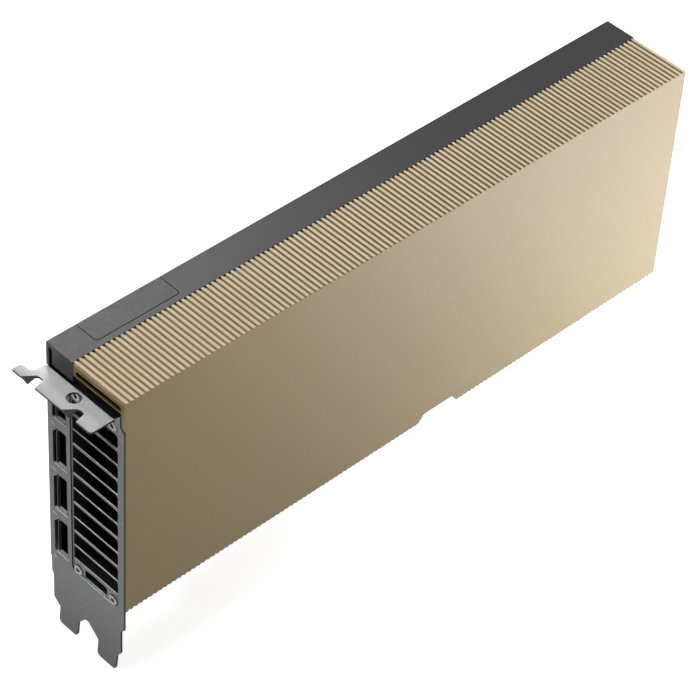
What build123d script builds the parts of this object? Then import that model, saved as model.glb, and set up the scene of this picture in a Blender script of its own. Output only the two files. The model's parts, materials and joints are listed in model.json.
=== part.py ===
from build123d import *
import math
import os

# Passive dual-slot accelerator card, in millimetres.
# X runs from the slot bracket to the air inlet, Y from the shroud face (negative) to the
# backplate (positive), and Z up from the contacts of the card edge.
# The origin is the middle of the key notch, at the bottom of the card edge and halfway
# through the board's thickness.

# Card envelope
card_height = 111.15
shroud_length = 266.7
shroud_bottom = 13.5
front_room = 34.5
back_room = 2.6
key_to_bracket = 64.43
shroud_set_back = 0.3
seat_gap = 0.2
thread_clearance = 0.05

# Circuit board
board_thickness = 1.57
board_near_to_key = 57.15
board_far_margin = 1.5
board_bottom = 8.25
board_top_gap = 1.2
contact_near = 12.15
contact_far = 72.15
key_width = 1.9
key_depth = 7.6
hook_gap = 3.6
hook_length = 10.0
hook_slot = 2.2
contact_pitch = 1.0
contact_width = 0.7
contact_length = 4.2
contact_lift = 0.9
contact_thickness = 0.05
edge_bevel = 0.4

# Shroud
shroud_depth = 25.6
shroud_wall = 1.8
rib_count = 123
rib_crest_share = 0.74
rib_depth = 0.55
rib_facets = 6
end_wall_thickness = 1.2
end_wall_height = 5.35
end_slot_length = 22.3
end_slot_height = 2.35
end_slot_drop = 3.7
latch_centre = 84.9
latch_top_width = 14.3
latch_bottom_width = 19.8
latch_height = 3.45
post_radius = 3.0
post_embed = 0.3
post_near = 52.0
post_far = 34.0
post_hole_depth = 9.0

# Slot bracket
bracket_thickness = 0.86
bracket_width = 38.74
bracket_height = 120.02
tab_drop = 9.93
bend_inner = 0.54
tab_depth = 9.6
tab_right = 4.9
corner_width = 1.8
corner_low = 13.3
corner_high = 11.2
ear_drop = 6.8
foot_width = 35.35
foot_shoulder = 106.3
foot_slope_top = 119.2
tip_width = 9.7
tip_pitch = 20.32
tip_lean = 0.6
tip_side = 6.0
tip_shoulder = 122.1
tip_radius = 1.7
fork_top = 117.4
fork_flat = 1.6
notch_width = 2.9
notch_flare = 0.9
notch_depth = 4.4
notch_shift = 3.79
notch_radius = 1.0
coin_side = 3.3
coin_angle = 31.0
wing_length = 5.2
wing_width = 3.9
wing_outer_radius = 1.2
wing_inner_radius = 2.2
tab_hole_radius = 2.65
tab_hole_depth = 3.1
tab_hole_side = 20.7
flange_depth = 3.6
flange_top = 14.2
flange_bottom = 98.3
flange_radius = 0.7
flange_step = 0.9

# Vent pressed into the bracket
vent_centre = 14.85
vent_width = 22.7
vent_frame = 0.8
vent_drop = 16.4
vent_rise = 5.7
vent_slots = 11
vent_bar_wide = 0.9
vent_bar_narrow = 0.42
vent_slot_radius = 1.3
recess_depth = 0.45
recess_drop = 11.4
recess_length = 86.4
recess_radius = 3.0
small_vent_width = 11.4
small_vent_height = 4.4
small_vent_gap = 0.8
vent_screw_spacing = 18.1
vent_screw_drop = 13.4
vent_screw_height = 82.1
vent_screw_radius = 0.95
vent_screw_head = 2.0
vent_screw_cap = 0.5
vent_screw_bevel = 0.2
vent_screw_length = 5.5
screw_clearance = 0.15
drive_radius = 1.0
drive_depth = 0.3

# Display connectors
port_count = 4
port_pitch = 21.27
port_drop = 13.8
port_window_width = 7.15
port_window_height = 17.5
port_window_side = 28.75
port_corner_cut = 2.7
port_corner_radius = 1.2
socket_mouth_width = 4.76
socket_mouth_height = 16.1
socket_corner_cut = 1.5
socket_wall = 0.3
socket_length = 17.0
tongue_start = 3.0
tongue_thickness = 1.0
tongue_margin = 2.0
tongue_root = 4.0

# Backplate and its hatch
cover_wall = 1.3
cover_top_wall = 1.4
cover_end_inset = 0.4
cover_end_wall = 1.5
cover_end_height = 9.0
cover_slot_width = 1.1
cover_slot_drop = 2.4
cover_slot_radius = 0.5
cover_pad_side = 5.2
hatch_near = 12.5
hatch_length = 35.5
hatch_width = 10.3
hatch_corner = 1.2
hatch_plate = 0.8
hatch_leg = 6.0
hatch_gap = 0.25
hatch_ledge = 1.0

# Frames inside the duct
front_frame_length = 5.5
front_frame_rail = 1.5
front_frame_sill = 1.0
front_foot_set_back = 2.5
front_foot_depth = 7.0
front_foot_height = 10.0
rail_thickness = 1.4
rear_frame_length = 8.0
rear_frame_side = 1.5
rear_frame_border = 8.0
rear_hole_radius = 1.25
rear_hole_depth = 6.0
rear_hole_inset = 3.4
rear_screw_rise = 19.5
rear_screw_drop = 40.4
inlet_depth = 18.5

# Power connector
power_columns = 4
power_rows = 2
power_pitch = 4.2
power_wall = 0.8
power_length = 13.0
power_floor = 2.0
power_drop = 19.0
pin_size = 0.9
pin_length = 8.5
latch_nub = 0.9
latch_nub_width = 5.0
latch_nub_near = 7.0
latch_nub_far = 3.0

# Heat sink
base_near = 30.4
inlet_room = 33.7
base_margin = 8.2
base_thickness = 3.6
base_room = 4.4
fin_overhang = 16.0
fin_sheet = 0.6
fin_thickness = 0.4
fin_pitch = 2.2
fin_margin = 8.4
fin_top_gap = 0.5
base_post_side = 4.8
base_post_inset = 8.0
base_post_margin = 4.5
processor_post_offset = 28.0
land_margin = 2.0

# Chips and parts on the board
package_size = 50.0
package_thickness = 1.4
die_length = 28.0
die_width = 26.0
die_thickness = 0.8
paste_thickness = 0.1
ring_width = 3.0
ring_thickness = 0.6
memory_width = 12.0
memory_length = 14.0
memory_thickness = 1.2
rear_memory_thickness = 1.0
memory_pitch = 15.0
memory_offset = 39.0
memory_row_offset = 34.0
memory_row_shift = 12.5
pad_thickness = 1.5
stage_width = 5.0
stage_length = 6.0
stage_thickness = 0.9
inductor_size = 7.0
inductor_height = 4.0
inductor_pad = 0.4
capacitor_size = 5.0
capacitor_height = 3.0
phase_count = 8
phase_pitch = 9.0
phase_offset = 49.5
phase_spacing = 7.4
bulk_radius = 3.15
bulk_height = 6.0
bulk_count = 4
bulk_pitch = 8.5
bulk_rise = 15.5
controller_size = 8.0
controller_thickness = 0.9
controller_count = 3
controller_pitch = 16.0

# Fasteners
screw_radius = 1.0
screw_head_radius = 2.1
screw_head_height = 1.0
screw_reach = 7.0
sink_screw_radius = 1.0
sink_screw_head_radius = 1.9
sink_screw_head_height = 0.9
sink_screw_spare = 1.0

# Places that follow from the sizes above
board_front = -board_thickness / 2
board_back = board_thickness / 2
face_y = board_front - front_room
split_y = face_y + shroud_depth
back_y = board_back + back_room
post_inset = shroud_wall + post_radius - post_embed
bracket_front = -key_to_bracket
notch_right = (bracket_width - tip_pitch) / 2 + notch_shift
bracket_back = bracket_front + bracket_thickness
shroud_near = bracket_front + shroud_set_back
shroud_far = shroud_near + shroud_length
rib_pitch = shroud_length / rib_count
board_near = -board_near_to_key
board_far = shroud_far - board_far_margin
board_top = card_height - cover_top_wall - board_top_gap
cover_inner = back_y - cover_wall
tab_top = card_height - tab_drop
bend_outer = bend_inner + bracket_thickness
cover_screw_spots = [
    (bracket_back + post_near, card_height - post_inset),
    (bracket_back + post_near, shroud_bottom + post_inset),
    (shroud_far - post_far, card_height - post_inset),
    (shroud_far - post_far, shroud_bottom + post_inset),
]


def block(x, y, z):
    """A box between the two ends given along each axis."""
    sizes = [max(ends) - min(ends) for ends in (x, y, z)]
    return Pos(min(x), min(y), min(z)) * Box(*sizes, align=(Align.MIN, Align.MIN, Align.MIN))


def rod(start, direction, radius, length):
    """A round bar that runs from a point along a direction."""
    along = Plane(origin=start, z_dir=direction)
    return along * Cylinder(radius, length, align=(Align.CENTER, Align.CENTER, Align.MIN))


def sheet_yz(points, x, thickness):
    """A flat sheet facing X, with its outline given as (y, z) points."""
    outline = Plane.YZ.offset(x) * make_face(Polyline(*points, close=True))
    return extrude(outline, amount=thickness, dir=(1, 0, 0))


def sheet_xy(points, z, thickness):
    """A flat sheet facing Z, with its outline given as (x, y) points."""
    outline = Pos(0, 0, z) * make_face(Polyline(*points, close=True))
    return extrude(outline, amount=thickness, dir=(0, 0, 1))


def sheet_xz(points, y, thickness):
    """A flat sheet facing Y, with its outline given as (x, z) points."""
    front = Plane(origin=(0, y, 0), x_dir=(1, 0, 0), z_dir=(0, -1, 0))
    outline = front * make_face(Polyline(*points, close=True))
    return extrude(outline, amount=thickness, dir=(0, 1, 0))


def rounded_window(y, z, radius, x, thickness):
    """A cutter facing X with four rounded corners."""
    face = Plane(origin=(x, sum(y) / 2, sum(z) / 2), x_dir=(0, 1, 0), z_dir=(1, 0, 0))
    outline = face * RectangleRounded(abs(y[1] - y[0]), abs(z[1] - z[0]), radius)
    return extrude(outline, amount=thickness, dir=(1, 0, 0))


def group(pieces):
    """Separate solids that share one node."""
    return Compound(children=[solid for piece in pieces for solid in piece.solids()])


def latch_arch(y, wall):
    """The flared arch at the bottom edge that clears the slot's latch, grown by a wall."""
    foot = latch_bottom_width / 2 + wall
    crown = latch_top_width / 2 + wall
    high = shroud_bottom + latch_height + wall
    outline = [
        (latch_centre - foot, shroud_bottom),
        (latch_centre + foot, shroud_bottom),
        (latch_centre + crown, high),
        (latch_centre - crown, high),
    ]
    return sheet_xz(outline, min(y), max(y) - min(y))


# Shroud
def rib_points(crest_z, groove_z):
    """One ribbed side of the shroud's outline: round crests with flat grooves between."""
    points = []
    reach = rib_pitch * rib_crest_share / 2
    for index in range(rib_count):
        middle = shroud_near + (index + 0.5) * rib_pitch
        for step in range(rib_facets + 1):
            turn = math.pi * step / rib_facets
            rise = (crest_z - groove_z) * math.sin(turn)
            points.append((middle - reach * math.cos(turn), groove_z + rise))
    return points


def shroud():
    top_groove = card_height - rib_depth
    bottom_groove = shroud_bottom + rib_depth
    outline = [(shroud_near, bottom_groove), (shroud_near, top_groove)]
    outline += rib_points(card_height, top_groove)
    outline += [(shroud_far, top_groove), (shroud_far, bottom_groove)]
    outline += reversed(rib_points(shroud_bottom, bottom_groove))
    body = sheet_xz(outline, face_y, shroud_depth)
    body -= block((shroud_near - 1, shroud_far + 1), (face_y + shroud_wall, split_y + 1),
                  (shroud_bottom + shroud_wall, card_height - shroud_wall))
    end_wall = block((shroud_near, shroud_near + end_wall_thickness),
                     (face_y + shroud_wall, split_y),
                     (card_height - end_wall_height, card_height - shroud_wall))
    post_length = board_front - face_y - shroud_wall
    posts = [rod((x, face_y + shroud_wall, z), (0, 1, 0), post_radius, post_length)
             for x, z in cover_screw_spots]
    body += posts + [end_wall, latch_arch((face_y + shroud_wall, split_y), shroud_wall)]
    slot_plane = Plane(origin=(shroud_near - 1, (face_y + split_y) / 2, card_height - end_slot_drop),
                       x_dir=(0, 1, 0), z_dir=(1, 0, 0))
    end_slot = extrude(slot_plane * SlotOverall(end_slot_length, end_slot_height),
                       amount=end_wall_thickness + 2, dir=(1, 0, 0))
    screw_holes = [rod((x, board_front, z), (0, -1, 0), screw_radius, post_hole_depth)
                   for x, z in cover_screw_spots]
    floor_relief = block((shroud_near - 1, bracket_back + front_frame_length + seat_gap),
                         (face_y + shroud_wall, split_y + 1),
                         (shroud_bottom - 1, shroud_bottom + shroud_wall + 1))
    arch = latch_arch((face_y - 1, split_y + 1), 0)
    return body - (screw_holes + [end_slot, arch, bracket_relief(), floor_relief])


def bracket_relief():
    """What the shroud's near end gives up so that it seats behind the bracket."""
    edge = face_y + corner_width
    ear_top = card_height - ear_drop + seat_gap
    outline = [
        (face_y - 1, shroud_bottom - 1),
        (split_y + 1, shroud_bottom - 1),
        (split_y + 1, ear_top),
        (edge - seat_gap, ear_top),
        (edge - seat_gap, card_height - corner_high + seat_gap),
        (face_y - 1, card_height - corner_low + seat_gap),
    ]
    return sheet_yz(outline, shroud_near - 1, bracket_back - shroud_near + 1)


# Slot bracket
def fork_outline():
    """The lower half of the bracket, whose two tips drop into the chassis wall."""
    left_edge = face_y + bracket_width - flange_step
    foot_right = face_y + (bracket_width - foot_width) / 2
    foot_left = foot_right + foot_width
    bottom = tab_top - bracket_height
    centre = (foot_left + foot_right) / 2
    shoulder = card_height - foot_shoulder
    step = (bracket_width - foot_width) / 2
    low = card_height - tip_shoulder
    outline = [(face_y, shoulder), (foot_right, shoulder - step)]
    outline += [(foot_right, card_height - foot_slope_top)]
    outline += tip_points(centre - tip_pitch / 2, low, bottom)
    outline += [(centre - fork_flat / 2, card_height - fork_top)]
    outline += [(centre + fork_flat / 2, card_height - fork_top)]
    outline += tip_points(centre + tip_pitch / 2, low, bottom)
    outline += [(foot_left, card_height - foot_slope_top)]
    outline += [(foot_left, shoulder - step), (left_edge, shoulder)]
    return outline


def tip_points(middle, low, bottom):
    """One tip of the fork, which leans towards the display side on its way down."""
    right = middle - tip_width / 2
    left = middle + tip_width / 2
    return [(right - tip_lean, low), (right, low - tip_side), (right, bottom),
            (left, bottom), (left, low - tip_side), (left - tip_lean, low)]


def tab_outline():
    """The screw tab seen from above, as (x, y) points from the bend outwards."""
    root = bracket_front - bend_inner
    edge = bracket_front - tab_depth
    left = face_y + bracket_width
    outline = [(root, face_y + tab_right), (edge, face_y + tab_right)]
    for step in range(2):
        right = face_y + notch_right + step * tip_pitch
        outline += [(edge, right - notch_flare), (edge + notch_depth, right)]
        outline += [(edge + notch_depth, right + notch_width), (edge, right + notch_width)]
    outline += [(edge, left + wing_length), (edge + wing_width, left + wing_length)]
    outline += [(edge + wing_width, left), (root, left)]
    return outline


def coined_corners():
    """The corner beside each tab notch: a triangle that is folded down along its long side."""
    edge = bracket_front - tab_depth
    flat = []
    folded = []
    for step in range(2):
        side = face_y + notch_right + notch_width + step * tip_pitch
        corner = [(edge, side), (edge, side + coin_side), (edge + notch_depth, side)]
        piece = sheet_xy(corner, tab_top - bracket_thickness, bracket_thickness)
        fold = Axis((edge, side + coin_side, tab_top), (notch_depth, -coin_side, 0))
        flat.append(piece)
        folded.append(piece.rotate(fold, coin_angle))
    return flat, folded


def port_window(index):
    """One display window: square at the board side, with one corner cut for the plug's key."""
    near = face_y + port_window_side
    far = near + port_window_width
    top = card_height - port_drop - index * port_pitch
    low = top - port_window_height
    outline = [(near, low), (far, low), (far, top - port_corner_cut),
               (far - port_corner_cut, top), (near, top)]
    window = sheet_yz(outline, bracket_front - 1, bracket_thickness + 2)
    corners = window.edges().filter_by(Axis.X)
    return fillet([corners.sort_by(Axis.Y)[0:2].sort_by(Axis.Z)[-1],
                   corners.sort_by(Axis.Z)[0:2].sort_by(Axis.Y)[-1]], port_corner_radius)


def vent_slot(index):
    """One slot of the vent. Wide and narrow bars take turns between the slots."""
    centre = face_y + vent_centre
    top = card_height - vent_drop
    pitch = (top - shroud_bottom - vent_rise) / vent_slots
    bars = (vent_bar_narrow, vent_bar_wide)
    above = bars[index % 2] / 2
    below = bars[(index + 1) % 2] / 2
    high = top - index * pitch - above
    low = top - (index + 1) * pitch + below
    slot = block((bracket_front - 1, bracket_back + 1),
                 (centre - vent_width / 2, centre + vent_width / 2), (low, high))
    corner = slot.edges().filter_by(Axis.X).group_by(Axis.Y)[0].sort_by(Axis.Z)[-1]
    return fillet(corner, vent_slot_radius)


def vent_screw_spots():
    """The four screws of the vent, as (y, z)."""
    centre = face_y + vent_centre
    top = card_height - vent_screw_drop
    return [(centre + side * vent_screw_spacing / 2, z)
            for side in (-1, 1) for z in (top, top - vent_screw_height)]


def bracket():
    right = face_y
    left = face_y + bracket_width
    plate_top = tab_top - bend_outer
    bend_right = right + tab_right
    step_z = card_height - flange_bottom
    outline = fork_outline() + [(left - flange_step, step_z - flange_step), (left, step_z),
                                (left, plate_top), (bend_right, plate_top), (bend_right, tab_top),
                                (right + corner_width, card_height - ear_drop),
                                (right + corner_width, card_height - corner_high),
                                (right, card_height - corner_low)]
    plate = sheet_yz(outline, bracket_front, bracket_thickness)
    tips = plate.edges().filter_by(Axis.X).sort_by(Axis.Z)[:4]
    plate = fillet(tips, tip_radius)

    bend_width = left - bend_right
    bend_start = (bracket_front - bend_inner, bend_right, plate_top)
    bend = rod(bend_start, (0, 1, 0), bend_outer, bend_width)
    bend -= rod(bend_start, (0, 1, 0), bend_inner, bend_width)
    bend &= block((bracket_front - bend_inner, bracket_back), (right, left), (plate_top, tab_top))

    tab = sheet_xy(tab_outline(), tab_top - bracket_thickness, bracket_thickness)
    wing_corners = tab.edges().filter_by(Axis.Z).sort_by(Axis.Y)
    tab = fillet(wing_corners[-2:].sort_by(Axis.X)[-1:], wing_outer_radius)
    inner = [edge for edge in tab.edges().filter_by(Axis.Z)
             if abs(edge.center().Y - left) < 0.01
             and abs(edge.center().X - bracket_front + tab_depth - wing_width) < 0.01]
    tab = fillet(inner, wing_inner_radius)
    front_right = tab.edges().filter_by(Axis.Z).group_by(Axis.Y)[0].sort_by(Axis.X)[0]
    tab = fillet(front_right, wing_outer_radius)
    notch_end = bracket_front - tab_depth + notch_depth
    notch_corners = [edge for edge in tab.edges().filter_by(Axis.Z)
                     if abs(edge.center().X - notch_end) < 0.01]
    tab = fillet(notch_corners, notch_radius)
    flat, folded = coined_corners()
    for piece in flat:
        tab -= piece
    for piece in folded:
        tab += piece
    tab -= rod((bracket_front - tab_hole_depth, face_y + tab_hole_side, tab_top + 1), (0, 0, -1),
               tab_hole_radius, bracket_thickness + 2)
    body = plate + bend + tab

    centre = face_y + vent_centre
    window = (centre - vent_width / 2 - vent_frame, centre + vent_width / 2 + vent_frame)
    recess_top = card_height - recess_drop
    body -= rounded_window(window, (recess_top - recess_length, recess_top), recess_radius,
                           bracket_front - 1, recess_depth + 1)
    for index in range(vent_slots):
        body -= vent_slot(index)
    small_top = shroud_bottom + vent_rise - small_vent_gap
    small = (centre - small_vent_width / 2, centre + small_vent_width / 2)
    body -= rounded_window(small, (small_top - small_vent_height, small_top), vent_slot_radius,
                           bracket_front - 1, bracket_thickness + 2)
    for y, z in vent_screw_spots():
        body -= rod((bracket_front - 1, y, z), (1, 0, 0), vent_screw_radius + screw_clearance,
                    bracket_thickness + 2)
    for index in range(port_count):
        body -= port_window(index)
    flange = side_flange()
    return body - block((bracket_front - 1, bracket_back + 1), (left - flange_radius, left + 1),
                        (step_z, card_height - flange_top)) + flange


def side_flange():
    """The rolled edge along the display side, which stiffens the bracket."""
    left = face_y + bracket_width
    z = (card_height - flange_bottom, card_height - flange_top)
    edge = block((bracket_front, bracket_back), (left - bracket_thickness, left), z)
    edge += block((bracket_back, bracket_back + flange_depth), (left - bracket_thickness, left), z)
    roll = edge.edges().filter_by(Axis.Z).sort_by(Axis.X)[:2].sort_by(Axis.Y)[-1]
    return fillet(roll, flange_radius)


def vent_screws():
    screws = []
    seat = bracket_front + recess_depth
    for y, z in vent_screw_spots():
        head = rod((seat, y, z), (-1, 0, 0), vent_screw_head, vent_screw_cap)
        rim = head.edges().sort_by(Axis.X)[:1]
        head = chamfer(rim, vent_screw_bevel)
        drive_plane = Plane(origin=(seat - vent_screw_cap, y, z), x_dir=(0, 1, 0), z_dir=(1, 0, 0))
        head -= extrude(drive_plane * RegularPolygon(drive_radius, 6), amount=drive_depth,
                        dir=(1, 0, 0))
        screws.append(head + rod((seat, y, z), (1, 0, 0), vent_screw_radius, vent_screw_length))
    return group(screws)


# Display connectors
def socket_outline(index, grow):
    """The outline of a display socket, as (y, z) points, grown outwards by a wall."""
    far = board_front - socket_wall
    near = far - socket_mouth_width
    middle = card_height - port_drop - index * port_pitch - port_window_height / 2
    top = middle + socket_mouth_height / 2
    low = middle - socket_mouth_height / 2
    slope = grow * (2 - math.sqrt(2))
    cut = socket_corner_cut + slope
    return [(near - grow, low - grow), (far + grow, low - grow), (far + grow, top + grow - cut),
            (far + grow - cut, top + grow), (near - grow, top + grow)]


def display_shell(index):
    """The folded metal shell, open towards the plug and closed at the board end."""
    shell = sheet_yz(socket_outline(index, socket_wall), shroud_near, socket_length)
    return shell - sheet_yz(socket_outline(index, 0), shroud_near - 1,
                            socket_length - socket_wall + 1)


def display_tongue(index):
    """The contact tongue with the block that closes the back of the shell."""
    (near, low), (far, _), _, _, (_, top) = socket_outline(index, 0)
    middle = (near + far) / 2
    root = shroud_near + socket_length - socket_wall - tongue_root
    tongue = block((shroud_near + tongue_start, root),
                   (middle - tongue_thickness / 2, middle + tongue_thickness / 2),
                   (low + tongue_margin, top - tongue_margin))
    return tongue + sheet_yz(socket_outline(index, 0), root, tongue_root)


# Circuit board
def board_outline():
    """The board seen from its shroud side, as (x, z) points round its edge."""
    hook_near = contact_far + hook_gap
    hook_far = hook_near + hook_length
    half_key = key_width / 2
    return [
        (board_near, board_bottom), (-contact_near, board_bottom), (-contact_near, edge_bevel),
        (-contact_near + edge_bevel, 0), (-half_key, 0), (-half_key, key_depth),
        (half_key, key_depth), (half_key, 0), (contact_far - edge_bevel, 0),
        (contact_far, edge_bevel), (contact_far, board_bottom), (hook_near, board_bottom),
        (hook_near, hook_slot), (hook_far, hook_slot), (hook_far, board_bottom),
        (board_far, board_bottom), (board_far, board_top), (board_near, board_top),
    ]


def circuit_board():
    board = sheet_xz(board_outline(), board_front, board_thickness)
    for side in (board_front, board_back):
        direction = -side / abs(side)
        wedge = [(side, 0), (side + direction * edge_bevel, 0), (side, edge_bevel)]
        board -= sheet_yz(wedge, -contact_near, contact_near + contact_far)
    holes = [(x, z, screw_radius) for x, z in cover_screw_spots + frame_screw_spots()]
    holes += [(x, z, sink_screw_radius) for x, z in sink_screw_spots()]
    return board - [rod((x, board_front - 1, z), (0, 1, 0), radius + screw_clearance,
                        board_thickness + 2) for x, z, radius in holes]


def edge_contacts():
    """The gold pads on both faces of the card edge, one for each pin of the slot."""
    first = math.ceil(-contact_near + contact_width)
    pads = []
    for face in (board_front - contact_thickness, board_back):
        x = first
        while x + contact_width < contact_far:
            if abs(x) > key_width / 2 + contact_width / 2:
                pads.append(block((x - contact_width / 2, x + contact_width / 2),
                                  (face, face + contact_thickness),
                                  (contact_lift, contact_lift + contact_length)))
            x += contact_pitch
    return group(pads)


# Backplate and hatch
def frame_screw_spots():
    """Screws from the back into the front foot and the rear frame, as (x, z)."""
    foot_x = bracket_back + front_foot_set_back + front_foot_depth / 2
    foot_z = card_height - cover_top_wall - front_foot_height / 2
    rear_x = shroud_far - rear_frame_length / 2
    return [(foot_x, foot_z), (rear_x, shroud_bottom + rear_screw_rise),
            (rear_x, card_height - rear_screw_drop)]


def hatch_opening(grow, z):
    """The hatch's outline in the top strip, open to the back, with two round corners."""
    near = shroud_near + hatch_near
    front = back_y - hatch_width
    opening = block((near - grow, near + hatch_length + grow), (front - grow, back_y + 1), z)
    corners = opening.edges().filter_by(Axis.Z).sort_by(Axis.Y)[:2]
    return fillet(corners, hatch_corner + grow)


def back_cover():
    plate = block((shroud_near, shroud_far), (cover_inner, back_y), (shroud_bottom, card_height))
    strip = block((shroud_near, shroud_far), (split_y, cover_inner),
                  (card_height - cover_top_wall, card_height))
    end_near = shroud_near + cover_end_inset
    end_wall = block((end_near, end_near + cover_end_wall), (split_y + seat_gap, cover_inner),
                     (card_height - cover_end_height, card_height - cover_top_wall))
    end_slot = block((end_near - 1, end_near + cover_end_wall + 1),
                     (cover_inner - cover_slot_width, cover_inner),
                     (card_height - cover_end_height - 1, card_height - cover_slot_drop))
    crown = end_slot.edges().filter_by(Axis.X).sort_by(Axis.Z)[-2:]
    end_slot = fillet(crown, cover_slot_radius)
    cover = plate + strip + (end_wall - end_slot)
    cover -= block((shroud_near - 1, bracket_back + seat_gap), (cover_inner - 1, back_y + 1),
                   (shroud_bottom - 1, tab_top + seat_gap))
    cover -= block((shroud_near - 1, bracket_back + flange_depth + seat_gap),
                   (cover_inner - 1, back_y + 1),
                   (shroud_bottom - 1, card_height - flange_top + seat_gap))
    pad = cover_pad_side / 2
    spots = cover_screw_spots + frame_screw_spots()
    cover += [block((x - pad, x + pad), (board_back, cover_inner), (z - pad, z + pad))
              for x, z in spots]
    cover -= [rod((x, board_back - 1, z), (0, 1, 0), screw_radius + screw_clearance, back_room + 2)
              + head_cone(x, z, screw_clearance) for x, z in spots]
    ledge = card_height - hatch_plate
    cover -= hatch_opening(hatch_gap, (ledge, card_height + 1))
    cover -= hatch_opening(-hatch_ledge, (card_height - cover_top_wall - 1, ledge + 1))
    near = shroud_near + hatch_near
    cover -= block((near - hatch_gap, near + hatch_length + hatch_gap),
                   (cover_inner, back_y + 1),
                   (card_height - hatch_leg - hatch_gap, card_height + 1))
    return cover


def access_hatch():
    """The removable cap over the board's top edge: a lid with a short leg down the back."""
    near = shroud_near + hatch_near
    lid = hatch_opening(0, (card_height - hatch_plate, card_height))
    lid -= block((near - 1, near + hatch_length + 1), (back_y, back_y + 2),
                 (card_height - hatch_plate - 1, card_height + 1))
    leg = block((near, near + hatch_length), (cover_inner, back_y),
                (card_height - hatch_leg, card_height - hatch_plate))
    return lid + leg


def head_cone(x, z, extra):
    """The countersunk head of a backplate screw, flush with the outside."""
    cone = Plane(origin=(x, back_y, z), z_dir=(0, -1, 0))
    return cone * Cone(screw_head_radius + extra, screw_radius + extra, screw_head_height,
                       align=(Align.CENTER, Align.CENTER, Align.MIN))


def cover_screws():
    screws = []
    for x, z in cover_screw_spots + frame_screw_spots():
        shank = rod((x, back_y - screw_head_height, z), (0, -1, 0),
                    screw_radius - thread_clearance,
                    board_thickness + back_room - screw_head_height + screw_reach)
        screw = head_cone(x, z, 0) + shank
        drive_plane = Plane(origin=(x, back_y, z), z_dir=(0, -1, 0))
        screw -= extrude(drive_plane * RegularPolygon(drive_radius, 6), amount=drive_depth,
                         dir=(0, -1, 0))
        screws.append(screw)
    return group(screws)


# Frames
def front_frame():
    """The frame behind the bracket that takes the vent screws and stands on the board."""
    x = (bracket_back, bracket_back + front_frame_length)
    right = face_y + shroud_wall + seat_gap
    left = face_y + vent_centre + vent_width / 2 + front_frame_rail
    top = card_height - recess_drop
    body = block(x, (right, left), (shroud_bottom, top))
    body -= block((x[0] - 1, x[1] + 1),
                  (right + front_frame_rail, left - front_frame_rail),
                  (shroud_bottom + vent_rise, card_height - vent_drop))
    small = small_vent_width / 2
    centre = face_y + vent_centre
    body -= block((x[0] - 1, x[0] + front_frame_length / 2), (centre - small, centre + small),
                  (shroud_bottom + front_frame_sill, shroud_bottom + vent_rise - small_vent_gap))
    foot_near = bracket_back + front_foot_set_back
    foot_top = card_height - cover_top_wall - seat_gap
    foot_low = foot_top - front_foot_height
    body += block((foot_near, foot_near + front_foot_depth), (split_y + seat_gap, board_front),
                  (foot_low, foot_top))
    body += block((bracket_back + cover_end_wall, foot_near + front_foot_depth),
                  (left - front_foot_depth, left), (foot_low, foot_top - front_foot_height / 2))
    for y, z in vent_screw_spots():
        body -= rod((x[0] - 1, y, z), (1, 0, 0), vent_screw_radius + thread_clearance,
                    vent_screw_length + 1)
    foot_x, foot_z = frame_screw_spots()[0]
    return body - rod((foot_x, board_front, foot_z), (0, -1, 0), screw_radius, post_hole_depth)


def bottom_rail():
    """The strip that closes the duct between the shroud and the board."""
    near = bracket_back + front_frame_length + seat_gap
    rail = block((near, shroud_far), (split_y, board_front),
                 (shroud_bottom, shroud_bottom + rail_thickness))
    rail += latch_arch((split_y, board_front), rail_thickness)
    return rail - latch_arch((split_y - 1, board_front + 1), 0)


def rear_frame():
    """The inlet frame with the four tapped holes that an extender bracket screws to."""
    x = (shroud_far - rear_frame_length, shroud_far)
    front = face_y + shroud_wall + seat_gap
    low = shroud_bottom + shroud_wall + seat_gap
    top = card_height - shroud_wall - seat_gap
    body = block(x, (front, board_front), (low, top))
    inlet = (front + rear_frame_side, front + rear_frame_side + inlet_depth)
    body -= block((x[0] - 1, x[1] + 1), inlet,
                  (shroud_bottom + rear_frame_border, card_height - rear_frame_border))
    width, height = power_size()
    middle = card_height - power_drop
    body -= block((x[0] - 1, x[1] + 1), (board_front - height - latch_nub - seat_gap, board_front + 1),
                  (middle - width / 2 - seat_gap, middle + width / 2 + seat_gap))
    for y, z in rear_hole_spots():
        body -= rod((x[1], y, z), (-1, 0, 0), rear_hole_radius, rear_hole_depth)
    for x_screw, z_screw in frame_screw_spots()[1:]:
        body -= rod((x_screw, board_front, z_screw), (0, -1, 0), screw_radius, post_hole_depth)
    return body


def rear_hole_spots():
    """The tapped holes at the corners of the rear frame, as (y, z)."""
    front = face_y + shroud_wall + seat_gap + rear_hole_inset
    low = shroud_bottom + shroud_wall + seat_gap + rear_hole_inset
    top = card_height - shroud_wall - seat_gap - rear_hole_inset
    return [(y, z) for y in (front, board_front - rear_hole_inset) for z in (low, top)]


# Power connector
def power_size():
    """Outside width along Z and height along Y of the power connector."""
    return (power_columns * power_pitch + 2 * power_wall,
            power_rows * power_pitch + 2 * power_wall)


def power_cells():
    """The middle of each contact cell, as (y, z)."""
    width, height = power_size()
    low = card_height - power_drop - width / 2 + power_wall + power_pitch / 2
    near = board_front - height + power_wall + power_pitch / 2
    return [(near + row * power_pitch, low + column * power_pitch)
            for row in range(power_rows) for column in range(power_columns)]


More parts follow.
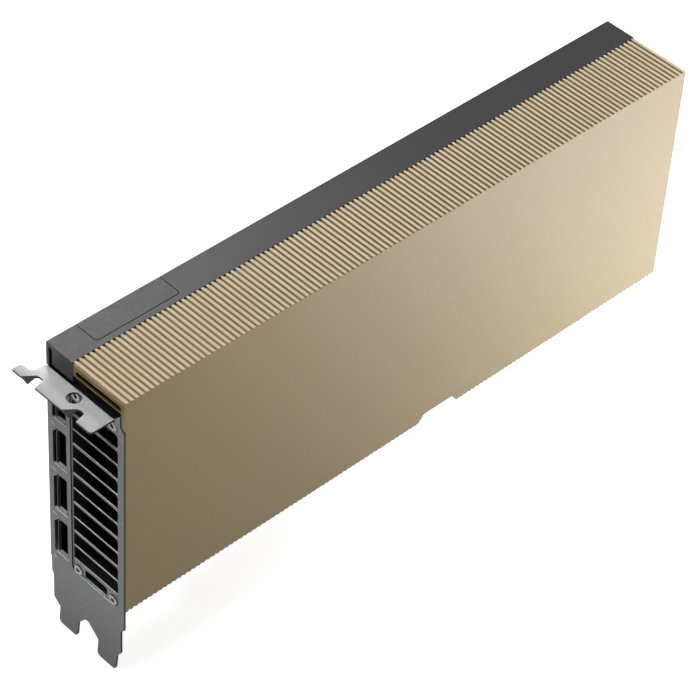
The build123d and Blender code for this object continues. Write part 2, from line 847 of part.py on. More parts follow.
def power_connector():
    width, height = power_size()
    middle = card_height - power_drop
    x = (shroud_far - power_length, shroud_far)
    body = block(x, (board_front - height, board_front),
                 (middle - width / 2, middle + width / 2))
    cell = (power_pitch - power_wall) / 2
    for y, z in power_cells():
        body -= block((x[0] + power_floor, x[1] + 1), (y - cell, y + cell), (z - cell, z + cell))
    top = board_front - height
    ramp = [(shroud_far - latch_nub_near, top), (shroud_far - latch_nub_far, top),
            (shroud_far - latch_nub_far, top - latch_nub)]
    return body + sheet_xy(ramp, middle - latch_nub_width / 2, latch_nub_width)


def power_pins():
    pins = []
    start = shroud_far - power_length + power_floor
    for y, z in power_cells():
        pins.append(block((start, start + pin_length), (y - pin_size / 2, y + pin_size / 2),
                          (z - pin_size / 2, z + pin_size / 2)))
    return group(pins)


# Heat sink
base_under = board_front - base_room
base_top = base_under - base_thickness
base_x = (bracket_back + base_near, shroud_far - inlet_room)
base_z = (shroud_bottom + base_margin, card_height - base_margin)
package_x = sum(base_x) / 2
package_z = sum(base_z) / 2


def sink_screw_spots():
    """The posts of the heat sink base: round the processor and at the two ends."""
    columns = (base_x[0] + base_post_inset, package_x - processor_post_offset,
               package_x + processor_post_offset, base_x[1] - base_post_inset)
    rows = (base_z[0] + base_post_margin, base_z[1] - base_post_margin)
    return [(x, z) for x in columns for z in rows]


def memory_spots():
    """Twelve memory packages round the processor: (x, z, standing or lying)."""
    spots = []
    for side in (-1, 1):
        for row in range(4):
            spots.append((package_x + side * memory_offset,
                          package_z + (row - 1.5) * memory_pitch, True))
        for shift in (-1, 1):
            spots.append((package_x + shift * memory_row_shift,
                          package_z + side * memory_row_offset, False))
    return spots


def phase_spots():
    """Each power phase: (x of the stage, direction away from the processor, z)."""
    return [(package_x + side * phase_offset, side, package_z + (row - 3.5) * phase_pitch)
            for side in (-1, 1) for row in range(phase_count)]


def chip(x, z, width, length, y, thickness):
    """A flat package standing off a board face towards the shroud."""
    return block((x - width / 2, x + width / 2), (y - thickness, y),
                 (z - length / 2, z + length / 2))


def heatsink_base():
    """The spreader plate with its posts and the raised lands over the hot parts."""
    body = block(base_x, (base_top, base_under), base_z)
    die_face = board_front - package_thickness - die_thickness - paste_thickness
    body += chip(package_x, package_z, die_width + 2 * land_margin, die_length + 2 * land_margin,
                 die_face, die_face - base_under)
    memory_face = board_front - memory_thickness - pad_thickness
    for x, z, upright in memory_spots():
        width, length = (memory_width, memory_length) if upright else (memory_length, memory_width)
        body += chip(x, z, width, length, memory_face, memory_face - base_under)
    stage_face = board_front - stage_thickness - pad_thickness
    for side in (-1, 1):
        x = package_x + side * phase_offset
        half = phase_count * phase_pitch / 2
        body += chip(x, package_z, stage_width, 2 * half, stage_face, stage_face - base_under)
    for x, z in sink_screw_spots():
        body += chip(x, z, base_post_side, base_post_side, board_front, base_room)
        body -= rod((x, board_front, z), (0, -1, 0), sink_screw_radius + thread_clearance, base_room)
    return body


def heatsink_fins():
    """A comb of thin fins along the air flow, on one common sheet."""
    x = (base_x[0] - fin_overhang, base_x[1])
    top = face_y + shroud_wall + fin_top_gap
    z_low = shroud_bottom + fin_margin
    z_high = card_height - fin_margin
    count = int((z_high - z_low - fin_thickness) / fin_pitch) + 1
    start = (z_low + z_high - (count - 1) * fin_pitch - fin_thickness) / 2
    root = base_top - fin_sheet
    outline = [(base_top, start), (base_top, start + (count - 1) * fin_pitch + fin_thickness)]
    for index in reversed(range(count)):
        low = start + index * fin_pitch
        outline += [(top, low + fin_thickness), (top, low)]
        if index:
            outline += [(root, low), (root, low - fin_pitch + fin_thickness)]
    return sheet_yz(outline, x[0], x[1] - x[0])


def heatsink_screws():
    screws = []
    for x, z in sink_screw_spots():
        seat = Plane(origin=(x, board_back, z), z_dir=(0, 1, 0))
        head = extrude(seat * RegularPolygon(sink_screw_head_radius, 6),
                       amount=sink_screw_head_height, dir=(0, 1, 0))
        shank = rod((x, board_back, z), (0, -1, 0), sink_screw_radius,
                    board_thickness + base_room - sink_screw_spare)
        screws.append(head + shank)
    return group(screws)


# Parts on the board
def gpu_substrate():
    return chip(package_x, package_z, package_size, package_size, board_front, package_thickness)


def gpu_die():
    top = board_front - package_thickness
    return chip(package_x, package_z, die_width, die_length, top, die_thickness)


def package_ring():
    top = board_front - package_thickness
    inner = package_size - 2 * ring_width
    ring = chip(package_x, package_z, package_size, package_size, top, ring_thickness)
    return ring - chip(package_x, package_z, inner, inner, top, ring_thickness)


def memory_chips():
    chips = []
    for x, z, upright in memory_spots():
        width, length = (memory_width, memory_length) if upright else (memory_length, memory_width)
        chips.append(chip(x, z, width, length, board_front, memory_thickness))
    return group(chips)


def rear_memory_chips():
    chips = []
    for x, z, upright in memory_spots():
        width, length = (memory_width, memory_length) if upright else (memory_length, memory_width)
        chips.append(chip(x, z, width, length, board_back + rear_memory_thickness,
                          rear_memory_thickness))
    return group(chips)


def thermal_pads():
    pads = [chip(package_x, package_z, die_width, die_length,
                 board_front - package_thickness - die_thickness, paste_thickness)]
    for x, z, upright in memory_spots():
        width, length = (memory_width, memory_length) if upright else (memory_length, memory_width)
        pads.append(chip(x, z, width, length, board_front - memory_thickness, pad_thickness))
    half = phase_count * phase_pitch / 2
    for side in (-1, 1):
        pads.append(chip(package_x + side * phase_offset, package_z, stage_width, 2 * half,
                         board_front - stage_thickness, pad_thickness))
        pads.append(chip(package_x + side * (phase_offset + phase_spacing), package_z,
                         inductor_size, 2 * half, board_front - inductor_height, inductor_pad))
    return group(pads)


def power_stages():
    return group([chip(x, z, stage_width, stage_length, board_front, stage_thickness)
                  for x, side, z in phase_spots()])


def inductors():
    return group([chip(x + side * phase_spacing, z, inductor_size, inductor_size, board_front,
                       inductor_height) for x, side, z in phase_spots()])


def capacitors():
    return group([chip(x + side * 2 * phase_spacing, z, capacitor_size, capacitor_size,
                       board_front, capacitor_height) for x, side, z in phase_spots()])


def input_capacitors():
    x = (base_x[1] + shroud_far - rear_frame_length) / 2
    first = shroud_bottom + bulk_rise
    return group([rod((x, board_front, first + index * bulk_pitch), (0, -1, 0), bulk_radius,
                      bulk_height) for index in range(bulk_count)])


def controller_chips():
    capacitor_edge = package_x + phase_offset + 2 * phase_spacing + capacitor_size / 2
    x = (capacitor_edge + base_x[1] - base_post_inset) / 2
    return group([chip(x, package_z + (index - 1) * controller_pitch, controller_size,
                       controller_size, board_front, controller_thickness)
                  for index in range(controller_count)])


nodes = {
    "shroud": shroud(),
    "back_cover": back_cover(),
    "access_hatch": access_hatch(),
    "bracket": bracket(),
    "vent_screws": vent_screws(),
    "cover_screws": cover_screws(),
    "front_frame": front_frame(),
    "bottom_rail": bottom_rail(),
    "rear_frame": rear_frame(),
    "circuit_board": circuit_board(),
    "edge_contacts": edge_contacts(),
    "power_connector": power_connector(),
    "power_pins": power_pins(),
    "heatsink_base": heatsink_base(),
    "heatsink_fins": heatsink_fins(),
    "heatsink_screws": heatsink_screws(),
    "gpu_substrate": gpu_substrate(),
    "gpu_die": gpu_die(),
    "package_ring": package_ring(),
    "memory_chips": memory_chips(),
    "rear_memory_chips": rear_memory_chips(),
    "thermal_pads": thermal_pads(),
    "power_stages": power_stages(),
    "inductors": inductors(),
    "capacitors": capacitors(),
    "input_capacitors": input_capacitors(),
    "controller_chips": controller_chips(),
}
for number in range(port_count):
    nodes[f"display_shell_{number + 1}"] = display_shell(number)
    nodes[f"display_tongue_{number + 1}"] = display_tongue(number)

os.makedirs("parts", exist_ok=True)
for name, shape in nodes.items():
    export_step(shape, f"parts/{name}.step")
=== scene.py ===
"""Looks for the passive accelerator card: surface finishes, small details, light and camera."""

import json
import math

import bpy
from mathutils import Matrix, Vector


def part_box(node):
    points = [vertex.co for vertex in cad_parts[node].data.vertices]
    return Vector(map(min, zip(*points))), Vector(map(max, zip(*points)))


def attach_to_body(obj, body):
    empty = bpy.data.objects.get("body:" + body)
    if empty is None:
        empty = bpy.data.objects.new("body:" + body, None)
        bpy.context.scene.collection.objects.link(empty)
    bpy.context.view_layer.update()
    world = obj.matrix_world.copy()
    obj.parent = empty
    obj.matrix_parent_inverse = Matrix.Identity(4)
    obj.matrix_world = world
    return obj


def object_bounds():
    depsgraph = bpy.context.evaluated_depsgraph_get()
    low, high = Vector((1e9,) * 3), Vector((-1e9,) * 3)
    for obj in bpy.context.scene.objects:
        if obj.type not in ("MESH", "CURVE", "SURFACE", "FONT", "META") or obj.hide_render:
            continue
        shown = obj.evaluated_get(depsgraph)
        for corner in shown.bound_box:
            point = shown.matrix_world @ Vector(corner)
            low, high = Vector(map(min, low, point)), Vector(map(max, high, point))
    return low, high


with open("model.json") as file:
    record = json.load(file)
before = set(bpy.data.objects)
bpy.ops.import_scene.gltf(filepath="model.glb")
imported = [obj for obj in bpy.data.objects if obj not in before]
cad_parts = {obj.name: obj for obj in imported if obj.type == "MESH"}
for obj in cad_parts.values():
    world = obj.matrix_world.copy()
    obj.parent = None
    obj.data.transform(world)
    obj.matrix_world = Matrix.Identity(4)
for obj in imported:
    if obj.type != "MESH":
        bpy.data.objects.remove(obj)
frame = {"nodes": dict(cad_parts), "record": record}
cad_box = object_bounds()


# Node helpers
def linear(value):
    """A display level from 0 to 255 as linear light."""
    level = value / 255
    if level <= 0.04045:
        return level / 12.92
    return ((level + 0.055) / 1.055) ** 2.4


def paint(red, green, blue):
    return (linear(red), linear(green), linear(blue), 1.0)


# Near-black that the painted shade in corners and creases darkens to
crevice_black = paint(10, 9, 8)
hemmed_in = 0.35
in_the_open = 0.95

# The mix node's sockets that carry colour
color_inputs = (6, 7)
color_output = 2


class Finish:
    """One node material, built up from grain, tone and bump on the object's own coordinates.

    The flat colour and roughness that it starts from are those that a viewer without nodes shows.
    """

    def __init__(self, name, color, metallic, roughness):
        self.material = bpy.data.materials.new(name)
        self.material.use_nodes = True
        self.tree = self.material.node_tree
        self.shader = self.tree.nodes["Principled BSDF"]
        self.shader.inputs["Base Color"].default_value = color
        self.shader.inputs["Metallic"].default_value = metallic
        self.shader.inputs["Roughness"].default_value = roughness
        self.place = self.add("ShaderNodeTexCoord").outputs["Object"]
        self.normal = None

    def add(self, kind, **settings):
        node = self.tree.nodes.new(kind)
        for key, value in settings.items():
            setattr(node, key, value)
        return node

    def join(self, source, target):
        self.tree.links.new(source, target)

    def noise(self, scale, detail=2.0, stretch=(1, 1, 1)):
        """A noise value, with the pattern drawn out along an axis by a small stretch factor."""
        mapping = self.add("ShaderNodeMapping")
        mapping.inputs["Scale"].default_value = stretch
        texture = self.add("ShaderNodeTexNoise")
        texture.inputs["Scale"].default_value = scale
        texture.inputs["Detail"].default_value = detail
        self.join(self.place, mapping.inputs["Vector"])
        self.join(mapping.outputs["Vector"], texture.inputs["Vector"])
        return texture.outputs["Fac"]

    def spread(self, value, low, high, start=0.3, end=0.7):
        """A value brought into a new range."""
        node = self.add("ShaderNodeMapRange")
        node.inputs["From Min"].default_value = start
        node.inputs["From Max"].default_value = end
        node.inputs["To Min"].default_value = low
        node.inputs["To Max"].default_value = high
        self.join(value, node.inputs["Value"])
        return node.outputs["Result"]

    def mix(self, factor, first, second):
        """One colour passes into another as the factor goes from 0 to 1."""
        node = self.add("ShaderNodeMix", data_type="RGBA")
        self.join(factor, node.inputs["Factor"])
        for socket, color in zip(color_inputs, (first, second)):
            if isinstance(color, tuple):
                node.inputs[socket].default_value = color
            else:
                self.join(color, node.inputs[socket])
        return node.outputs[color_output]

    def along(self, axis):
        """The point's place along one axis, in metres."""
        split = self.add("ShaderNodeSeparateXYZ")
        self.join(self.place, split.inputs["Vector"])
        return split.outputs[axis]

    def facing(self, axis, start, end):
        """How far the surface faces along an axis, from 0 at one share to 1 at the other."""
        split = self.add("ShaderNodeSeparateXYZ")
        self.join(self.add("ShaderNodeNewGeometry").outputs["True Normal"], split.inputs["Vector"])
        return self.spread(split.outputs[axis], 0.0, 1.0, start, end)

    def beyond(self, axis, start, end):
        """How far the point lies along an axis, from 0 at one place to 1 at the other."""
        return self.spread(self.along(axis), 0.0, 1.0, start, end)

    def pair(self, operation, first, second):
        """Two values brought together by a maths node."""
        node = self.add("ShaderNodeMath", operation=operation)
        self.join(first, node.inputs[0])
        self.join(second, node.inputs[1])
        return node.outputs["Value"]

    def both(self, first, second):
        """One mask where two masks meet."""
        return self.pair("MULTIPLY", first, second)

    def either(self, first, second):
        """One mask that covers two masks."""
        return self.pair("MAXIMUM", first, second)

    def show(self, color):
        """Makes this the colour of the surface."""
        self.join(color, self.shader.inputs["Base Color"])
        return color

    def tone(self, scale, first, second, detail=2.0, stretch=(1, 1, 1)):
        """The base colour wanders between two near tones."""
        factor = self.spread(self.noise(scale, detail, stretch), 0.0, 1.0)
        return self.show(self.mix(factor, first, second))

    def polish(self, scale, low, high, detail=2.0, stretch=(1, 1, 1)):
        """The roughness wanders between two levels."""
        value = self.spread(self.noise(scale, detail, stretch), low, high)
        self.join(value, self.shader.inputs["Roughness"])

    def crevice(self, color, reach, depth, shade=crevice_black):
        """Painted shade: the colour darkens where the surface is hemmed in within a short reach.
        """
        node = self.add("ShaderNodeAmbientOcclusion", samples=6)
        node.inputs["Distance"].default_value = reach
        factor = self.spread(node.outputs["AO"], depth, 0.0, hemmed_in, in_the_open)
        return self.show(self.mix(factor, color, shade))

    def shine(self, level):
        """How strongly the bare surface reflects at its face."""
        self.shader.inputs["Specular IOR Level"].default_value = level

    def round_edges(self, radius):
        """Sharp edges catch light as if they were broken by a small radius."""
        bevel = self.add("ShaderNodeBevel", samples=4)
        bevel.inputs["Radius"].default_value = radius
        self.normal = bevel.outputs["Normal"]
        self.join(self.normal, self.shader.inputs["Normal"])

    def bump(self, height, strength, distance):
        """Fine relief, on top of the rounded edges where they are set."""
        node = self.add("ShaderNodeBump")
        node.inputs["Strength"].default_value = strength
        node.inputs["Distance"].default_value = distance
        self.join(height, node.inputs["Height"])
        if self.normal:
            self.join(self.normal, node.inputs["Normal"])
        self.normal = node.outputs["Normal"]
        self.join(self.normal, self.shader.inputs["Normal"])

    def coat(self, weight, roughness):
        """A clear layer over the paint."""
        self.shader.inputs["Coat Weight"].default_value = weight
        self.shader.inputs["Coat Roughness"].default_value = roughness


# Finishes
bracket_set_off = 0.0003
socket_lip = 0.0011
# Near-black of the painted shade inside the duct and under the black strip
duct_shade_black = paint(12, 11, 10)


def gold_coat():
    """Champagne satin paint with metal flake; painted highlight on the rib crests, painted shade
    in the grooves and inside the duct, and a paler painted reflection towards the far end.
    """
    finish = Finish("gold_shroud", paint(127, 107, 64), 0.2, 0.42)
    low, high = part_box("shroud")

    # Painted reflection: the colour turns paler towards the far end
    flake = finish.spread(finish.noise(1700, 3), 0.0, 1.0)
    deep = finish.mix(flake, paint(113, 92, 40), paint(128, 107, 55))
    pale = finish.mix(flake, paint(121, 106, 76), paint(136, 121, 91))
    gold = finish.mix(finish.beyond("X", low[0], high[0]), deep, pale)

    # Painted highlight makes the crests of the ribs paler, and painted brown shade darkens the
    # grooves
    groove_lip = high[2] - 0.0004
    raised = finish.beyond("Z", groove_lip, high[2] - 0.00015)
    crest_highlight = finish.both(raised, finish.facing("Z", 0.6, 0.95))
    gold = finish.mix(crest_highlight, gold, paint(170, 153, 127))
    gold = finish.crevice(gold, 0.002, 0.6, paint(62, 50, 28))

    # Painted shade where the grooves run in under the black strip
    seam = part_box("back_cover")[0][1]
    tucked = finish.beyond("Y", seam - 0.0009, seam - 0.0004)
    sunk = finish.beyond("Z", high[2] - 0.0001, groove_lip)
    gold = finish.mix(finish.both(tucked, sunk), gold, duct_shade_black)

    # Past the skin of each wall lies the inside of the duct, painted black as shade
    past_face = finish.beyond("Y", low[1] + 0.0010, low[1] + 0.0016)
    past_end = finish.beyond("X", low[0] + 0.0001, low[0] + 0.0009)
    above_floor = finish.beyond("Z", low[2] + 0.0012, low[2] + 0.0017)
    below_roof = finish.beyond("Z", high[2] - 0.0012, high[2] - 0.0017)
    inside = finish.both(finish.both(past_face, past_end), finish.both(above_floor, below_roof))
    finish.show(finish.mix(inside, gold, duct_shade_black))

    finish.polish(900, 0.36, 0.46, detail=3)
    finish.round_edges(0.00015)
    finish.bump(finish.noise(4200, 2), 0.25, 0.00003)
    finish.shine(0.25)
    finish.coat(0.3, 0.35)
    return finish.material


def black_coat():
    """Satin black with a fine sandy grain, painted a little paler on the end wall as a highlight,
    with painted shade in its corners.
    """
    finish = Finish("black_cover", paint(44, 44, 46), 0.0, 0.36)
    black = finish.tone(2600, paint(40, 40, 41), paint(54, 54, 55), detail=3)
    # Painted highlight: faces turned towards -X are a little paler
    black = finish.mix(finish.facing("X", -0.5, -0.9), black, paint(60, 60, 61))
    # Painted shade in corners and creases
    finish.crevice(black, 0.0012, 1.0)
    finish.polish(1200, 0.32, 0.42, detail=2)
    finish.shine(0.16)
    finish.round_edges(0.00015)
    finish.bump(finish.noise(5200, 2), 0.35, 0.00003)
    return finish.material


def zinc_sheet():
    """Zinc-plated steel sheet with a faint mottle, with painted highlight on top and painted shade
    at its foot, its tab's tip and its edges.
    """
    finish = Finish("bracket_steel", paint(124, 124, 125), 0.05, 0.5)
    tab_tip, _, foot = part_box("bracket")[0]
    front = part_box("shroud")[0][0] - bracket_set_off

    plain = finish.tone(1500, paint(129, 129, 130), paint(146, 146, 147), detail=4)
    # Painted shade: darker towards the foot and in corners
    foot_shade = finish.spread(finish.along("Z"), 0.4, 0.0, foot, foot + 0.028)
    plain = finish.crevice(finish.mix(foot_shade, plain, paint(70, 70, 71)), 0.0015, 0.9)

    # Painted highlight on faces that look up, and painted shade that darkens the tab towards its
    # tip
    on_tab = finish.beyond("X", front - 0.0002, front - 0.0006)
    toward_fold = finish.beyond("X", tab_tip, front - 0.002)
    tab_tip_shade = finish.mix(toward_fold, paint(158, 158, 159), paint(218, 218, 219))
    speckle = finish.spread(finish.noise(1500, 4), 0.0, 0.2)
    tab_tip_shade = finish.mix(speckle, tab_tip_shade, paint(110, 110, 111))
    upward_highlight = finish.mix(on_tab, paint(228, 230, 234), tab_tip_shade)
    zinc = finish.mix(finish.facing("Z", 0.3, 0.9), plain, upward_highlight)

    # Painted shade keeps the coined corners and the sheared edges that face -Y or down dark
    coined_shade = finish.both(on_tab, finish.facing("Z", 0.99, 0.955))
    edge_shade = finish.either(finish.facing("Y", -0.3, -0.8), finish.facing("Z", -0.3, -0.8))
    finish.show(finish.mix(finish.either(coined_shade, edge_shade), zinc, paint(60, 60, 61)))

    finish.polish(700, 0.44, 0.58, detail=3)
    finish.shine(0.15)
    finish.round_edges(0.00018)
    finish.bump(finish.noise(3200, 3), 0.3, 0.00002)
    return finish.material


def plated_screw():
    """Bright plate on the heads, with painted shade down in the drive and in corners."""
    finish = Finish("screw_steel", paint(158, 158, 160), 0.6, 0.3)
    steel = finish.tone(2500, paint(140, 140, 142), paint(172, 172, 174))
    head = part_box("vent_screws")[0][0]
    # Painted shade: black below the top of the drive
    deep = finish.beyond("X", head + 0.0002, head + 0.00026)
    steel = finish.mix(deep, steel, paint(9, 9, 9))
    finish.crevice(steel, 0.0008, 1.0)
    finish.polish(1600, 0.24, 0.38)
    finish.round_edges(0.00008)
    finish.bump(finish.noise(6000, 2), 0.2, 0.00001)
    return finish.material


def black_screw():
    """Steel under black zinc."""
    finish = Finish("screw_black", paint(34, 34, 35), 0.6, 0.36)
    finish.tone(2500, paint(28, 28, 29), paint(44, 44, 45))
    finish.polish(1600, 0.3, 0.44)
    finish.round_edges(0.00008)
    finish.bump(finish.noise(6000, 2), 0.2, 0.00001)
    return finish.material


def black_frame():
    """Black painted frame."""
    finish = Finish("black_frame", paint(22, 22, 23), 0.2, 0.5)
    finish.tone(1800, paint(18, 18, 19), paint(28, 28, 29))
    finish.polish(1100, 0.42, 0.58)
    finish.round_edges(0.0001)
    finish.bump(finish.noise(4200, 2), 0.25, 0.00002)
    return finish.material


def board_mask():
    """Black-green solder mask over copper traces that fan out in straight runs."""
    finish = Finish("board", paint(16, 26, 20), 0.0, 0.35)
    mapping = finish.add("ShaderNodeMapping")
    mapping.inputs["Rotation"].default_value = (0, math.radians(45), 0)
    finish.join(finish.place, mapping.inputs["Vector"])
    wave = finish.add("ShaderNodeTexWave", wave_type="BANDS", bands_direction="X")
    wave.inputs["Scale"].default_value = 260
    wave.inputs["Distortion"].default_value = 0
    finish.join(mapping.outputs["Vector"], wave.inputs["Vector"])
    region = finish.spread(finish.noise(60, 1), 0.0, 1.0, 0.5, 0.52)
    trace = finish.both(finish.spread(wave.outputs["Fac"], 0.0, 1.0, 0.55, 0.65), region)
    finish.show(finish.mix(trace, paint(14, 24, 19), paint(26, 44, 34)))
    finish.polish(900, 0.28, 0.42)
    finish.bump(trace, 0.3, 0.00002)
    finish.coat(0.3, 0.2)
    return finish.material


def gold_flash():
    """Hard gold, brushed along the contacts."""
    finish = Finish("contact_gold", paint(205, 164, 84), 1.0, 0.25)
    finish.tone(2200, paint(196, 154, 74), paint(216, 176, 98))
    finish.polish(1500, 0.2, 0.34, stretch=(1, 1, 0.15))
    finish.bump(finish.noise(5000, 2, (1, 1, 0.1)), 0.2, 0.00001)
    return finish.material


def moulded_plastic():
    """Black glass-filled plastic of the power inlet."""
    finish = Finish("connector_plastic", paint(24, 24, 25), 0.0, 0.45)
    finish.tone(1600, paint(20, 20, 21), paint(30, 30, 31))
    finish.polish(1300, 0.38, 0.54)
    finish.round_edges(0.00012)
    finish.bump(finish.noise(5200, 2), 0.3, 0.00002)
    return finish.material


def tin_pin():
    """Tin-plated pins."""
    finish = Finish("pin_tin", paint(190, 184, 168), 1.0, 0.3)
    finish.tone(2600, paint(178, 172, 156), paint(204, 198, 184))
    finish.polish(1800, 0.24, 0.4)
    finish.bump(finish.noise(6000, 2, (0.1, 1, 1)), 0.2, 0.00001)
    return finish.material


def socket_steel():
    """Bronze at the mouth of the socket, with painted highlight on faces that look up, and painted
    shade from there inwards.
    """
    finish = Finish("socket_steel", paint(196, 174, 154), 0.3, 0.4)
    bronze = finish.tone(1900, paint(84, 72, 63), paint(98, 85, 75))
    # Painted highlight: faces that look up are pale
    bronze = finish.mix(finish.facing("Z", 0.3, 0.8), bronze, paint(232, 208, 188))
    # Painted shade: dark inwards of the lip and on faces turned towards -X
    lip_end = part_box("display_shell_1")[0][0] + socket_lip
    inward = finish.beyond("X", lip_end, lip_end + 0.0002)
    dark = finish.either(inward, finish.facing("X", -0.3, -0.8))
    finish.show(finish.mix(dark, bronze, paint(7, 6, 6)))
    finish.polish(1200, 0.28, 0.42, stretch=(0.2, 1, 1))
    finish.round_edges(0.00008)
    finish.bump(finish.noise(4600, 2, (0.1, 1, 1)), 0.2, 0.00001)
    return finish.material


def spreader_plate():
    """Black nickel over the base plate."""
    finish = Finish("spreader_nickel", paint(62, 60, 58), 0.8, 0.4)
    finish.tone(1100, paint(54, 52, 50), paint(72, 70, 68), stretch=(0.05, 1, 1))
    finish.polish(900, 0.28, 0.44, stretch=(0.05, 1, 1))
    finish.round_edges(0.0001)
    finish.bump(finish.noise(2600, 2, (0.05, 1, 1)), 0.2, 0.00001)
    return finish.material


def fin_sheet():
    """Aluminium sheet coloured near-black as painted shade inside the duct."""
    finish = Finish("fin_aluminium", paint(20, 20, 21), 0.3, 0.5)
    finish.tone(1400, paint(16, 16, 17), paint(28, 28, 29), stretch=(0.08, 1, 1))
    finish.polish(1000, 0.34, 0.5, stretch=(0.08, 1, 1))
    finish.bump(finish.noise(3200, 2, (0.08, 1, 1)), 0.2, 0.00001)
    return finish.material


def silicon():
    """Bare polished die."""
    finish = Finish("silicon", paint(52, 54, 62), 0.6, 0.12)
    finish.tone(800, paint(46, 48, 56), paint(60, 62, 72))
    finish.polish(900, 0.08, 0.18)
    finish.bump(finish.noise(3000, 2), 0.1, 0.00001)
    return finish.material


def nickel_ring():
    """Nickel-plated stiffener round the die."""
    finish = Finish("ring_nickel", paint(150, 150, 148), 1.0, 0.32)
    finish.tone(1500, paint(140, 140, 138), paint(162, 162, 160))
    finish.polish(1200, 0.26, 0.4)
    finish.bump(finish.noise(4000, 2), 0.2, 0.00001)
    return finish.material


def chip_mould():
    """Black moulding compound."""
    finish = Finish("chip_plastic", paint(26, 26, 27), 0.0, 0.55)
    finish.tone(2400, paint(22, 22, 23), paint(34, 34, 35), detail=3)
    finish.polish(1500, 0.48, 0.64)
    finish.bump(finish.noise(6000, 3), 0.3, 0.00002)
    return finish.material


def gap_pad():
    """Soft grey thermal pad."""
    finish = Finish("pad_rubber", paint(126, 132, 140), 0.0, 0.85)
    finish.tone(1300, paint(118, 124, 132), paint(136, 142, 150), detail=4)
    finish.polish(900, 0.78, 0.92)
    finish.bump(finish.noise(2400, 4), 0.4, 0.00005)
    return finish.material


def pressed_ferrite():
    """Pressed iron powder."""
    finish = Finish("inductor_grey", paint(74, 74, 76), 0.0, 0.7)
    finish.tone(2600, paint(64, 64, 66), paint(86, 86, 88), detail=4)
    finish.polish(1300, 0.62, 0.78)
    finish.round_edges(0.00015)
    finish.bump(finish.noise(3600, 4), 0.5, 0.00003)
    return finish.material


def capacitor_can():
    """Drawn aluminium can."""
    finish = Finish("capacitor_can", paint(176, 176, 178), 1.0, 0.28)
    finish.tone(1500, paint(166, 166, 168), paint(188, 188, 190))
    finish.polish(1200, 0.22, 0.36, stretch=(1, 0.1, 1))
    finish.round_edges(0.00015)
    finish.bump(finish.noise(4200, 2, (1, 0.1, 1)), 0.2, 0.00001)
    return finish.material


def printed_ink():
    """Pale ink of the numerals."""
    finish = Finish("print_white", paint(214, 214, 214), 0.0, 0.6)
    finish.tone(2200, paint(206, 206, 206), paint(222, 222, 222))
    finish.polish(1500, 0.5, 0.7)
    return finish.material


finishes = {
    "gold_shroud": gold_coat(),
    "black_cover": black_coat(),
    "bracket_steel": zinc_sheet(),
    "screw_steel": plated_screw(),
    "screw_black": black_screw(),
    "black_frame": black_frame(),
    "board": board_mask(),
    "contact_gold": gold_flash(),
    "connector_plastic": moulded_plastic(),
    "pin_tin": tin_pin(),
    "socket_steel": socket_steel(),
    "spreader_nickel": spreader_plate(),
    "fin_aluminium": fin_sheet(),
    "silicon": silicon(),
    "ring_nickel": nickel_ring(),
    "chip_plastic": chip_mould(),
    "pad_rubber": gap_pad(),
    "inductor_grey": pressed_ferrite(),
    "capacitor_can": capacitor_can(),
}
for entry in frame["record"]["subparts"]:
    node = frame["nodes"][entry["node"]]
    node.data.materials.clear()
    node.data.materials.append(finishes[entry["material_slot"]])
print_white = printed_ink()


# Details
socket_numbers = range(1, 5)
contact_count = 10
contact_pitch = 0.00115
contact_half_width = 0.0002
contact_thickness = 0.00006
contact_span = (0.0002, 0.006)
tongue_half_thickness = 0.0005
number_size = 0.0029
number_thickness = 0.00002
number_y = 0.0004
number_drop = 0.00325


def attach(name, mesh):
    """Put a mesh on the card as a piece of its own."""
    piece = bpy.data.objects.new(name, mesh)
    bpy.context.collection.objects.link(piece)
    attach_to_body(piece, "root")
    return piece


def plates(name, boxes, slot):
    """One piece made of small flat plates, each given by its lowest and highest corner."""
    points = []
    faces = []
    for low, high in boxes:
        start = len(points)
        for corner in range(8):
            points.append(tuple((low, high)[corner >> axis & 1][axis] for axis in range(3)))
        for side in ((0, 2, 3, 1), (4, 5, 7, 6), (0, 1, 5, 4), (2, 6, 7, 3), (0, 4, 6, 2),
                     (1, 3, 7, 5)):
            faces.append([start + index for index in side])
    mesh = bpy.data.meshes.new(name)
    mesh.from_pydata(points, [], faces)
    mesh.materials.append(finishes[slot])
    attach(name, mesh)


def socket_contacts():
    """A row of gold contacts along each side of each socket's tongue."""
    boxes = []
    for socket in socket_numbers:
        low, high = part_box("display_tongue_%d" % socket)
        near, far = (low[0] + reach for reach in contact_span)
        middle = (low[1] + high[1]) / 2
        centre = (low[2] + high[2]) / 2
        for side in (middle - tongue_half_thickness - contact_thickness,
                     middle + tongue_half_thickness):
            for step in range(contact_count):
                z = centre + (step - (contact_count - 1) / 2) * contact_pitch
                boxes.append(((near, side, z - contact_half_width),
                              (far, side + contact_thickness, z + contact_half_width)))
    plates("socket_contacts", boxes, "contact_gold")


def port_numbers():
    """A plain numeral printed below each display window, read from the display side."""
    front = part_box("shroud")[0][0] - bracket_set_off
    for number in socket_numbers:
        text = bpy.data.curves.new("numeral", "FONT")
        text.body = str(number)
        text.size = number_size
        text.extrude = number_thickness
        text.align_x = "CENTER"
        text.align_y = "CENTER"
        carrier = bpy.data.objects.new("numeral", text)
        mesh = bpy.data.meshes.new_from_object(carrier)
        bpy.data.objects.remove(carrier)
        name = "port_number_%d" % number
        mesh.name = name
        mesh.materials.clear()
        mesh.materials.append(print_white)
        number_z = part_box("display_shell_%d" % number)[0][2] - number_drop
        mesh.transform(Matrix(((0, 0, -1, front - number_thickness), (0, 1, 0, number_y),
                               (1, 0, 0, number_z), (0, 0, 0, 1))))
        attach(name, mesh)


socket_contacts()
port_numbers()


# Stage
floor_gap = 0.0005
floor_reach = 4.0
floor_glow = 0.75
world_glow = 0.25


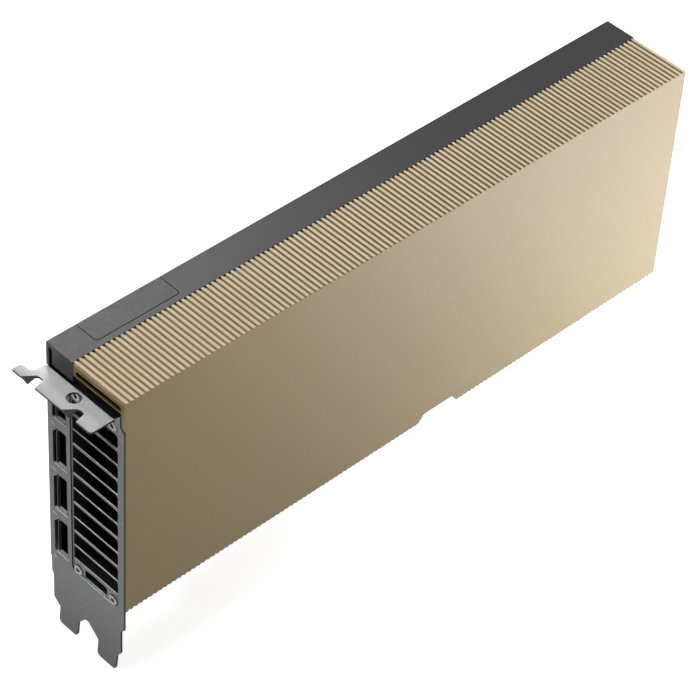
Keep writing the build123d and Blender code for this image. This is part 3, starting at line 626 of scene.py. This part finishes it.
def floor():
    """A pale floor that reads as white and keeps the card's soft shadow."""
    mesh = bpy.data.meshes.new("floor")
    level = cad_box[0][2] - floor_gap
    corners = [(x * floor_reach, y * floor_reach, level)
               for x, y in ((-1, -1), (1, -1), (1, 1), (-1, 1))]
    mesh.from_pydata(corners, [], [(0, 1, 2, 3)])
    plane = bpy.data.objects.new("floor", mesh)
    bpy.context.collection.objects.link(plane)

    finish = Finish("floor", (0.8, 0.8, 0.8, 1.0), 0.0, 0.9)
    finish.tone(6, (0.54, 0.54, 0.54, 1.0), (0.56, 0.56, 0.56, 1.0))
    rays = finish.add("ShaderNodeLightPath")
    seen = finish.either(rays.outputs["Is Camera Ray"], rays.outputs["Is Glossy Ray"])
    seen = finish.either(seen, rays.outputs["Is Transmission Ray"])
    glow = finish.spread(seen, 0.0, floor_glow, 0.0, 1.0)
    finish.shader.inputs["Emission Color"].default_value = (1, 1, 1, 1)
    finish.join(glow, finish.shader.inputs["Emission Strength"])
    mesh.materials.append(finish.material)


def hang(name, light, place, aim):
    """Put a lamp at a place and turn it to a point."""
    lamp = bpy.data.objects.new(name, light)
    lamp.location = place
    direction = Vector(aim) - Vector(place)
    lamp.rotation_euler = direction.to_track_quat("-Z", "Y").to_euler()
    bpy.context.collection.objects.link(lamp)


def softbox(name, place, aim, size, power):
    """A square soft lamp that faces a point on the card."""
    light = bpy.data.lights.new(name, "AREA")
    light.size = size
    light.energy = power
    hang(name, light, place, aim)


def pool(name, place, aim, angle, power):
    """A soft round pool of light on the floor."""
    light = bpy.data.lights.new(name, "SPOT")
    light.spot_size = math.radians(angle)
    light.spot_blend = 1.0
    light.shadow_soft_size = 0.1
    light.energy = power
    hang(name, light, place, aim)


floor()
softbox("near_box", (-0.26, 0.05, 0.54), (-0.065, 0.0, 0.05), 0.25, 1.3)
softbox("over_box", (0.45, 0.1, 0.7), (0.1, 0.0, 0.0), 0.6, 1.1)
softbox("top_box", (0.36, 0.57, 0.79), (-0.02, 0.0, 0.11), 0.3, 5.0)
softbox("far_box", (0.5, -0.3, 0.35), (0.2, -0.035, 0.08), 0.2, 1.7)
pool("floor_pool", (0.5, -0.6, 0.9), (0.28, -0.2, -0.066), 26, 290)

world = bpy.data.worlds.new("studio")
world.use_nodes = True
background = world.node_tree.nodes["Background"]
background.inputs["Color"].default_value = (1, 1, 1, 1)
background.inputs["Strength"].default_value = world_glow
bpy.context.scene.world = world
bpy.context.scene.view_settings.view_transform = "Standard"

# Camera, as it was fitted to the standard bracket and the shroud's edges in the photo
camera_turn = (47.064126, -2.968734, -43.772804)
camera_data = bpy.data.cameras.new("camera")
camera_data.sensor_width = 36
camera_data.lens = 152.77
camera_data.clip_start = 0.05
camera = bpy.data.objects.new("camera", camera_data)
camera.location = (-0.5014035, -0.5453481, 0.7616507)
camera.rotation_euler = [math.radians(angle) for angle in camera_turn]
bpy.context.collection.objects.link(camera)
bpy.context.scene.camera = camera
